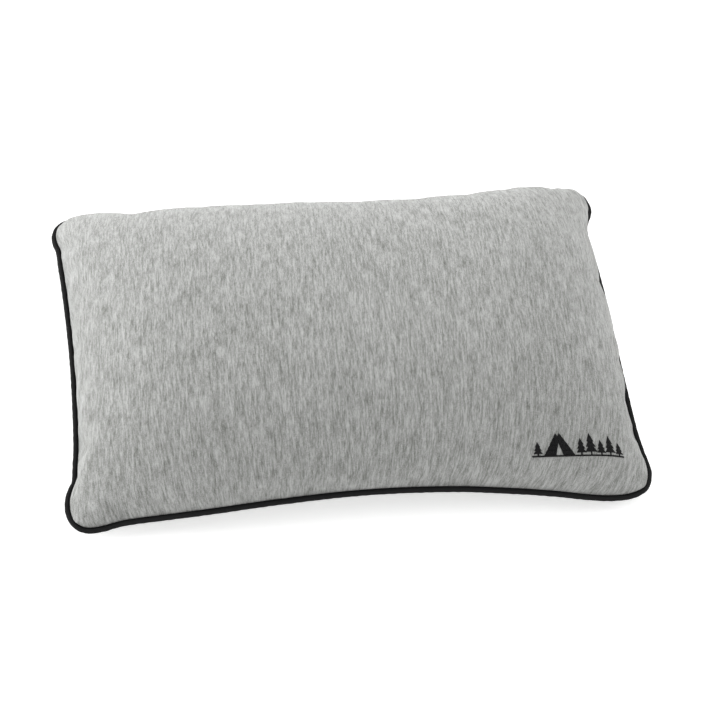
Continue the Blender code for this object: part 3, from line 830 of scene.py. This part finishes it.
def make_piping(piping):
    section = strip_section(piping)
    line, inward = (np.concatenate([side[k][:-1] for side in SIDES.values()]) for k in (0, 1))
    total = run_of(np.vstack([line, line[:1]]))
    at = np.linspace(0, total[-1], RING_STEPS + 1)
    ring, into = (
        np.stack([np.interp(at, total, np.append(row, row[0])) for row in rows.T], axis=1)
        for rows in (line, inward)
    )
    into /= np.linalg.norm(into, axis=1)[:, None]
    section = np.vstack([section, section[:1]])

    def about(inwards, upwards):
        """Points beside the centreline."""
        return ring + into * inwards[..., None] + np.array([0, 0, 1]) * upwards[..., None]

    turn = math.tau * at / total[-1]
    slant = np.arctan2(section[:, 1:], section[:, :1])
    gather = sum(size * np.sin(turn * waves + lean * slant + start) for size, waves, lean, start in GATHERS)
    on_tube = np.hypot(section[:, :1], section[:, 1:]) < piping.radius + 0.01 * MM
    grow = 1 + on_tube * piping.pucker * gather / piping.radius * 0.6
    points = about(section[:, :1] * grow, section[:, 1:] * grow)
    flat = np.stack(np.broadcast_arrays(at[None, :], run_of(section)[:, None]), axis=-1)
    obj = add_panel("top", points, flat)
    in_edit_mode(obj, weld, face_out)
    smooth(obj, 50)
    settle(obj, "bias_piping", bias_strip(tuple(piping.colour)), "black_piping", "piping_sleeve")
    strands = []
    for strand in range(3):
        phase = turn * STRAND_TURNS + strand * math.tau / 3
        strands.append(about(np.cos(phase) * STRAND_REACH, np.sin(phase) * STRAND_REACH)[:-1])
    cord = curve_piece("cord", strands, True, 0.7 * MM, 1)
    smooth(cord)
    settle(cord, "piping_core", cord_twist(), "cotton_cord", "piping_cord")


# The inner pillow

INNER_GRID = (72, 50)


def make_inner_pillow(cover):
    white, sides = lining(), ("top", "underside")
    for side in sides:
        points = panel_points(cover, side, *INNER_GRID, 16 * MM, 1.5 * MM, 0.65 * MM)
        obj = add_panel(side, points, unrolled(points))
        thicken(obj, 0.5 * MM)
        smooth(obj)
        settle(obj, f"lining_{side}", white, "white_lining", f"inner_case_{side}")
    surfaces = [panel_points(cover, side, *INNER_GRID, 18 * MM, 2.5 * MM, 0.0) for side in sides]
    block = join([add_panel(side, surface) for side, surface in zip(sides, surfaces)])
    in_edit_mode(block, lambda: weld(0.05 * MM), face_out)
    smooth(block)
    settle(block, "fibre_block", loose_fibre(), "fibre", "fibre_filling")


# The zip

TAPE_PLANE = 0.3 * MM
COIL_MIDDLE = 1.5 * MM
PLATE_BOTTOM = 2.7 * MM
PLATE = 1.1 * MM
PIVOT = PLATE_BOTTOM + PLATE + 0.85 * MM


def place_on_zip(obj, offset=(0.0, 0.0, 0.0)):
    """Moves a mesh modelled in the zip's frame to its place."""
    obj.data.transform(ZIP_FRAME @ Matrix.Translation(offset))


def make_tape(name, low, high, material):
    """A woven tape, with its own cloth coordinates along and across it."""
    x, z = np.meshgrid(np.linspace(-TAPE_HALF, TAPE_HALF, 95), np.linspace(low, high, 13))
    points = np.stack([x, np.full_like(x, TAPE_PLANE), z], axis=-1)
    obj = add_panel("underside", points, np.stack([x, z], axis=-1))
    thicken(obj, 0.6 * MM)
    apply_all(obj)
    place_on_zip(obj)
    settle(obj, f"woven_{name}", material, "zip_tape", name)


def coil_line(pitch, sign):
    """One coil of the zip: a flat winding whose heads lean towards the other coil."""
    turns = int(2 * COIL_HALF / pitch)
    t = np.linspace(0, turns, turns * 10 + 1)
    angle = t * math.tau
    reach = np.cos(angle)
    x = -COIL_HALF + t * pitch + (0.5 if sign > 0 else 0.0) * pitch
    z = -CHAIN_DROP + sign * (1.2 * MM - reach * 1.3 * MM)
    y = COIL_MIDDLE + np.sin(angle) * 0.55 * MM * (1 + 0.2 * reach)
    return np.stack([x, y, z], axis=1)


def make_zip(settings):
    tape, coil, metal = woven_tape(), nylon_coil(), coated_metal(tuple(settings.metal))
    make_tape("zip_tape_upper", -CHAIN_DROP + 0.6 * MM, -1.0 * MM, tape)
    make_tape("zip_tape_lower", -15 * MM, -CHAIN_DROP - 0.6 * MM, tape)
    stop = COIL_HALF + 2.8 * MM
    for name, sign in (("upper", 1), ("lower", -1)):
        obj = curve_piece("coil", [coil_line(settings.pitch, sign)], False, settings.wire, 0)
        place_on_zip(obj)
        smooth(obj)
        settle(obj, f"nylon_coil_{name}", coil, "zip_coil", f"zip_coil_{name}")
        height = -CHAIN_DROP + sign * 1.9 * MM
        line = [(x, COIL_MIDDLE, height) for x in (-COIL_HALF, COIL_HALF)]
        obj = curve_piece("core", [line], False, 0.25 * MM, 1)
        place_on_zip(obj)
        settle(obj, f"coil_core_{name}", cord_twist(), "cotton_cord", f"zip_coil_cord_{name}")
        make_clip(f"top_stop_{name}", 2.3 * MM, (-stop, COIL_MIDDLE, height), metal, f"zip_top_stop_{name}")
    make_slot_stitches()
    make_clip("bottom_stop", 6 * MM, (stop, COIL_MIDDLE, -CHAIN_DROP), metal, "zip_bottom_stop")


def make_slot_stitches():
    """Two rows of short raised stitches that hold the tapes to the jersey."""
    wall = bpy.data.objects["jersey_underside"]
    inward = ZIP_FRAME.to_3x3() @ Vector((0.0, -1.0, 0.0))

    def on_wall(x, height):
        found, hit, _, _ = wall.ray_cast(ZIP_FRAME @ Vector((x, 20 * MM, height)), inward)
        if not found:
            raise RuntimeError("the stitches beside the zip miss the cover")
        return np.array(ZIP_FRAME.inverted() @ hit)

    stitch, step, radius, lines = 2.3 * MM, 3.1 * MM, 0.22 * MM, []
    share = np.linspace(0, 1, 5)[:, None]
    rise = np.array([0, 1, 0]) * (np.sin(share * math.pi) ** 0.5 - 0.45) * radius * 1.5
    for offset in (SLOT_HEIGHT / 2 + 0.9 * MM, -SLOT_HEIGHT / 2 - 1.4 * MM):
        for x in np.arange(-SLOT_HALF - 1.5 * MM, SLOT_HALF + 1.0 * MM, step):
            start, end = (on_wall(x + along, offset - CHAIN_DROP) for along in (0, stitch))
            lines.append(start + (end - start) * share + rise)
    rows = curve_piece("rows", lines, False, radius, 1)
    smooth(rows)
    place_on_zip(rows)
    thread = stitching("grey_thread", (0.10, 0.10, 0.10), (0.22, 0.22, 0.22))
    settle(rows, "zip_stitching", thread, "melange_jersey")


def make_clip(name, height, place, material, node):
    """A folded metal clip with rounded edges and a pressed groove down its middle."""
    obj = add_block((3 * MM, 1.9 * MM, height))
    for face in obj.data.polygons:
        face.select = face.normal.y > 0.9
    bpy.ops.object.mode_set(mode="EDIT")
    bpy.ops.mesh.select_mode(type="FACE")
    bpy.ops.mesh.inset(thickness=0.45 * MM, depth=-0.25 * MM)
    bpy.ops.object.mode_set(mode="OBJECT")
    add_modifier(obj, "BEVEL", width=0.28 * MM, segments=3, limit_method="ANGLE")
    apply_all(obj)
    smooth(obj, 40)
    place_on_zip(obj, place)
    settle(obj, name, material, "zip_metal", node)


def rounded(low, high, half, corner, steps, end_half=None):
    """An outline from low to high with round corners, which may narrow towards its high end."""
    end_half = end_half or half
    return (
        arc(corner, 90, 180, steps, (low + corner, half - corner))
        + arc(corner, 180, 270, steps, (low + corner, corner - half))
        + arc(corner, 270, 360, steps, (high - corner, corner - end_half))
        + arc(corner, 0, 90, steps, (high - corner, end_half - corner))
    )


def cut_plate(outlines, thickness, bottom, edge):
    """A flat piece with rounded edges, lying on the zip; outlines after the first are holes."""
    inner = [moved_in(line, -edge if i else edge) for i, line in enumerate(outlines)]
    obj = curve_piece("plate", inner, True, edge, 2, thickness / 2 - edge, True)
    obj.data.transform(
        Matrix.Translation((0, bottom + thickness / 2, 0)) @ Matrix.Rotation(math.pi / 2, 4, "X")
    )
    return obj


def moved_in(line, distance):
    """An outline moved in by a distance, corner by corner."""
    points = np.array(line)
    along = np.roll(points, -1, axis=0) - np.roll(points, 1, axis=0)
    area = np.sum(points[:, 0] * np.roll(points[:, 1], -1) - np.roll(points[:, 0], -1) * points[:, 1])
    normal = np.stack([-along[:, 1], along[:, 0]], axis=1) * np.sign(area)
    normal /= np.linalg.norm(normal, axis=1)[:, None]
    return [tuple(point) for point in points + normal * distance]


def make_slider(settings):
    metal = bpy.data.materials["zip_metal"]
    at = (SLIDER_X, 0.0, -CHAIN_DROP)
    plate = rounded(-5.25 * MM, 5.25 * MM, 4.5 * MM, 1.6 * MM, 6, 3.7 * MM)
    parts = [cut_plate([plate], PLATE, bottom, 0.3 * MM) for bottom in (PLATE_BOTTOM, -1.7 * MM)]
    top = PLATE_BOTTOM + 0.5 * MM
    bend = [
        (2.0 * MM * math.cos(turn), PIVOT + 1.75 * MM * math.sin(turn), 0.0)
        for turn in np.radians(np.linspace(0, 180, 17))
    ]
    arch = curve_piece("arch", [[(2 * MM, top, 0.0), *bend, (-2 * MM, top, 0.0)]], False, 0.5 * MM, 3)
    arch.data.transform(Matrix.Diagonal((1.0, 1.0, 1.5, 1.0)))
    parts.append(arch)
    # The two rims that guide the coils, and the post that parts them.
    for x, z, long, wide, low in ((0, 3.65, 7.2, 0.7, 0.6), (0, -3.65, 7.2, 0.7, 0.6), (-2.9, 0, 3, 0.9, -1.2)):
        wall = add_block((long * MM, top - low * MM, wide * MM))
        add_modifier(wall, "BEVEL", width=0.2 * MM, segments=2)
        apply_all(wall)
        wall.data.transform(Matrix.Translation((x * MM, (top + low * MM) / 2, z * MM)))
        parts.append(wall)
    body = join(parts)
    smooth(body, 40)
    place_on_zip(body, at)
    settle(body, "slider_body", metal, "zip_metal", "zip_slider_body", body="slider")

    # The puller: round at its free end, narrow at the arch, with an eye and a grip slot.
    half, neck = 3.0 * MM, 0.9 * MM
    outline = arc(half, -90, 90, 14, (24 * MM, 0.0)) + [(9 * MM, half), (6.5 * MM, 2.7 * MM)]
    outline += arc(neck, 90, 180, 4, (0.4 * MM, 1.7 * MM)) + arc(neck, 180, 270, 4, (0.4 * MM, -1.7 * MM))
    outline += [(6.5 * MM, -2.7 * MM), (9 * MM, -half)]
    eye = rounded(0.5 * MM, 3.2 * MM, 1.15 * MM, 0.3 * MM, 3)
    grip = arc(1.5 * MM, -90, 90, 8, (21.5 * MM, 0.0)) + arc(1.5 * MM, 90, 270, 8, (13 * MM, 0.0))
    tab = cut_plate([outline, eye, grip], 1.0 * MM, PIVOT - 0.5 * MM, 0.22 * MM)
    smooth(tab, 40)
    place_on_zip(tab, at)
    settle(tab, "puller_tab", metal, "zip_metal", "zip_puller", body="puller")


# The label and the motif


def make_label(trim):
    """A blank satin ribbon, folded in half and sewn in under the piping on the right side."""
    low, high = (np.array(corner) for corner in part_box("care_label"))
    y, s = np.meshgrid(np.linspace(low[1], high[1], 19), np.linspace(-1, 1, 41))
    spread = 0.2 * MM * np.sqrt(1 - np.abs(s) ** 8)
    fold = np.sign(s) * np.abs(s) ** 3 * 0.168 * MM + s * 0.252 * MM
    curl = 0.9 * MM * (1 - np.abs(s)) ** 2 * np.cos((y - low[1]) / (high[1] - low[1]) * math.pi * 0.9)
    x = (low[0] + high[0]) / 2 + fold + curl + spread
    height = high[2] - (1 - np.abs(s)) * trim.label_length
    obj = add_panel("top", np.stack([x, y, height], axis=-1), np.stack([y, s * trim.label_length], axis=-1))
    thicken(obj, 0.12 * MM)
    soften(obj)
    smooth(obj)
    settle(obj, "satin_care_label", satin(), "satin_label", "care_label")


MOTIF_MIDDLE = (51.0, 10.5)
LONGEST_STITCH = 7.0
SHORTEST_STITCH = 0.25


def pine(x, height, width):
    """Three tiers of branches and a trunk."""
    shapes = []
    for low, high, half in ((0.13, 0.56, 0.5), (0.36, 0.79, 0.4), (0.6, 1.0, 0.29)):
        shapes.append(
            (90, [(x - width * half, height * low), (x + width * half, height * low), (x, height * high)])
        )
    shapes.append((0, [(x - 0.8, 0), (x + 0.8, 0), (x + 0.8, height * 0.16), (x - 0.8, height * 0.16)]))
    return shapes


def motif_shapes():
    """The motif in millimetres from its left end: stitch angle and outline of each shape."""
    shapes = [
        (0, [(0, -1.6), (102, -1.6), (102, 0), (0, 0)]),
        (52, [(12.5, 0), (25.2, 0), (29.1, 12.5), (29.1, 18.8), (27.2, 22), (26, 20.8)]),
        (-52, [(45.5, 0), (32.8, 0), (28.9, 12.5), (28.9, 18.8), (30.8, 22), (32, 20.8)]),
    ]
    for x, height, width in (
        (6.5, 14, 9.5), (53, 17, 11), (64, 22, 13.5), (75.5, 15, 10), (86, 19.5, 12), (96.5, 13, 9)
    ):
        shapes += pine(x, height, width)
    return shapes


def turned(degrees):
    """Turns rows of x and y by an angle when they are multiplied by it."""
    turn = math.radians(degrees)
    return np.array([[math.cos(turn), math.sin(turn)], [-math.sin(turn), math.cos(turn)]])


def stitches(outline, degrees, spacing):
    """Ends of the parallel stitches that fill an outline, in the outline's plane."""
    points = outline @ turned(-degrees)
    following = np.roll(points, -1, axis=0)
    ends = []
    for level in np.arange(points[:, 1].min() + spacing / 2, points[:, 1].max(), spacing):
        crossing = (points[:, 1] - level) * (following[:, 1] - level) < 0
        here, there = points[crossing], following[crossing]
        share = (level - here[:, 1]) / (there[:, 1] - here[:, 1])
        xs = np.sort(here[:, 0] + share * (there[:, 0] - here[:, 0]))
        for start, end in zip(xs[::2], xs[1::2]):
            cuts = np.linspace(start, end, max(1, math.ceil((end - start) / LONGEST_STITCH)) + 1)
            if cuts[1] - cuts[0] > SHORTEST_STITCH:
                ends += [np.array([[a, level], [b, level]]) @ turned(degrees) for a, b in zip(cuts, cuts[1:])]
    return ends


def make_motif(trim):
    """A tent among pine trees on one line of ground, in black satin stitch."""
    columns, rows = TOP_GRID
    cloth = points_of(bpy.data.objects["jersey_top"]).reshape(rows + 1, columns + 1, 3)
    flat = unrolled(cloth)
    low, high = (np.array(corner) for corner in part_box("embroidered_motif"))
    middle = (low[:2] + high[:2]) / 2 - np.array([0, 2 * MM])
    gap = np.sum((cloth[:, :, :2] - middle) ** 2, axis=2)
    row, column = divmod(int(np.argmin(gap + (cloth[:, :, 2] < 30 * MM))), columns + 1)
    spin = turned(math.degrees(trim.motif_turn)) * MM

    def on_cloth(spots):
        """Places on the cloth, and the way out of it, for spots in millimetres about the middle."""
        x, y = (spots @ spin + flat[row, column]).T
        i = np.interp(x, flat[row, :, 0], np.arange(columns + 1))
        k = np.clip(i.astype(int), 0, columns - 1)
        a = (i - k)[:, None]
        lines = flat[:, k, 1].T * (1 - a) + flat[:, k + 1, 1].T * a
        j = np.array([np.interp(up, line, np.arange(rows + 1)) for up, line in zip(y, lines)])
        m = np.clip(j.astype(int), 0, rows - 1)
        b = (j - m)[:, None]
        corners = [cloth[m + p, k + q] for p, q in ((0, 0), (0, 1), (1, 0), (1, 1))]
        place = (corners[0] * (1 - a) + corners[1] * a) * (1 - b) + (corners[2] * (1 - a) + corners[3] * a) * b
        out = np.cross(corners[1] - corners[0], corners[2] - corners[0])
        return place, out / np.linalg.norm(out, axis=1)[:, None]

    lines = []
    share = np.linspace(0, 1, 5)[:, None]
    rise = np.sqrt(1 - (2 * share - 1) ** 4) * 0.42 * MM + 0.08 * MM
    for degrees, outline in motif_shapes():
        for ends in stitches(np.array(outline, float) - MOTIF_MIDDLE, degrees, trim.thread / MM):
            place, out = on_cloth(ends[:1] * (1 - share) + ends[1:] * share)
            lines.append(place + out * rise)
    obj = curve_piece("motif", lines, False, trim.thread * 0.55, 1)
    smooth(obj)
    thread = stitching("black_thread", (0.0025, 0.0025, 0.0028), (0.009, 0.009, 0.0095))
    settle(obj, "satin_stitch_motif", thread, "black_thread", "embroidered_motif")


# The stage


def make_stage(stage):
    pick()
    bpy.ops.mesh.primitive_plane_add(size=12.0, location=(0.0, 0.0, -0.4 * MM))
    floor = bpy.context.object
    floor.name = "floor"
    paper = Finish(
        "floor_paper", (0.92, 0.92, 0.92), 0.95, Specular_IOR_Level=0.1, Emission_Color=(1.0, 1.0, 1.0, 1.0),
        Emission_Strength=stage.glow,
    )
    floor.data.materials.append(paper.material)

    scene = bpy.context.scene
    scene.world = bpy.data.worlds.new("studio")
    scene.world.use_nodes = True
    sky = scene.world.node_tree.nodes["Background"]
    sky.inputs["Color"].default_value = (1.0, 1.0, 1.0, 1.0)
    sky.inputs["Strength"].default_value = stage.sky

    for name, place, size, power in (
        ("left", (-2.4, 0.3, 0.9), 1.6, stage.key_power),
        ("back", (0.4, 2.4, 1.5), 2.0, stage.back_power),
        ("fill", (1.9, -0.5, 2.1), 2.0, stage.fill_power),
    ):
        lamp = bpy.data.lights.new(name, "AREA")
        lamp.size = size
        lamp.energy = power
        obj = bpy.data.objects.new(name, lamp)
        scene.collection.objects.link(obj)
        aim = Vector((0.0, 0.0, 0.05)) - Vector(place)
        obj.matrix_world = Matrix.Translation(place) @ aim.to_track_quat("-Z", "Y").to_matrix().to_4x4()

    camera = bpy.data.cameras.new("camera")
    camera.lens = stage.lens
    camera.sensor_width = 36.0
    obj = bpy.data.objects.new("camera", camera)
    scene.collection.objects.link(obj)
    obj.matrix_world = (
        Matrix.Translation((0.008, -0.0175, 0.03))
        @ Matrix.Rotation(stage.azimuth, 4, "Z")
        @ Matrix.Rotation(math.pi / 2 - stage.elevation, 4, "X")
        @ Matrix.Rotation(stage.roll, 4, "Z")
        @ Matrix.Translation((0.0, 0.0, stage.distance))
    )
    scene.camera = obj
    scene.view_settings.view_transform = "Standard"
    scene.view_settings.look = "None"


# Operators and panel


class Maker:
    """What all the operators do: make their part from the user's settings."""

    def execute(self, context):
        self.make(context.scene)
        return {"FINISHED"}


class PILLOW_OT_cover(Maker, bpy.types.Operator):
    """Makes the two jersey panels of the cover and fills them out"""

    bl_idname = "pillow.cover"
    bl_label = "Jersey cover"

    def make(self, scene):
        make_cover(scene.pillow_cover)


class PILLOW_OT_piping(Maker, bpy.types.Operator):
    """Makes the piping and the cord inside it"""

    bl_idname = "pillow.piping"
    bl_label = "Piping"

    def make(self, scene):
        make_piping(scene.pillow_piping)


class PILLOW_OT_inner(Maker, bpy.types.Operator):
    """Makes the inner pillow's case and filling"""

    bl_idname = "pillow.inner"
    bl_label = "Inner pillow"

    def make(self, scene):
        make_inner_pillow(scene.pillow_cover)


class PILLOW_OT_zip(Maker, bpy.types.Operator):
    """Makes the zip's tapes, coils and stops"""

    bl_idname = "pillow.zip"
    bl_label = "Zip"

    def make(self, scene):
        make_zip(scene.pillow_zip)


class PILLOW_OT_slider(Maker, bpy.types.Operator):
    """Makes the slider and its puller"""

    bl_idname = "pillow.slider"
    bl_label = "Slider and puller"

    def make(self, scene):
        make_slider(scene.pillow_zip)


class PILLOW_OT_trims(Maker, bpy.types.Operator):
    """Makes the care label and the embroidered motif"""

    bl_idname = "pillow.trims"
    bl_label = "Label and motif"

    def make(self, scene):
        make_label(scene.pillow_trim)
        make_motif(scene.pillow_trim)


class PILLOW_OT_stage(Maker, bpy.types.Operator):
    """Makes the floor, the lights and the camera"""

    bl_idname = "pillow.stage"
    bl_label = "Stage"

    def make(self, scene):
        make_stage(scene.pillow_stage)


OPERATORS = (
    PILLOW_OT_stage, PILLOW_OT_cover, PILLOW_OT_piping, PILLOW_OT_inner, PILLOW_OT_zip, PILLOW_OT_slider,
    PILLOW_OT_trims,
)
SETTINGS = {
    "pillow_cover": CoverSettings,
    "pillow_piping": PipingSettings,
    "pillow_zip": ZipSettings,
    "pillow_trim": TrimSettings,
    "pillow_stage": StageSettings,
}


class PILLOW_PT_panel(bpy.types.Panel):
    """Lists the pieces of the pillow and their sizes"""

    bl_label = "Camp pillow"
    bl_idname = "PILLOW_PT_panel"
    bl_space_type = "VIEW_3D"
    bl_region_type = "UI"
    bl_category = "Camp pillow"

    def draw(self, context):
        layout = self.layout
        for name, group in SETTINGS.items():
            box = layout.box()
            for key in group.__annotations__:
                box.prop(getattr(context.scene, name), key)
        for operator in OPERATORS:
            layout.operator(operator.bl_idname)


CLASSES = (*SETTINGS.values(), *OPERATORS, PILLOW_PT_panel)


def register():
    for one in CLASSES:
        bpy.utils.register_class(one)
    for name, group in SETTINGS.items():
        setattr(bpy.types.Scene, name, PointerProperty(type=group))


def unregister():
    for name in SETTINGS:
        delattr(bpy.types.Scene, name)
    for one in reversed(CLASSES):
        bpy.utils.unregister_class(one)


def main():
    register()
    for operator in OPERATORS:
        family, name = operator.bl_idname.split(".")
        getattr(getattr(bpy.ops, family), name)()


if __name__ == "__main__":
    main()
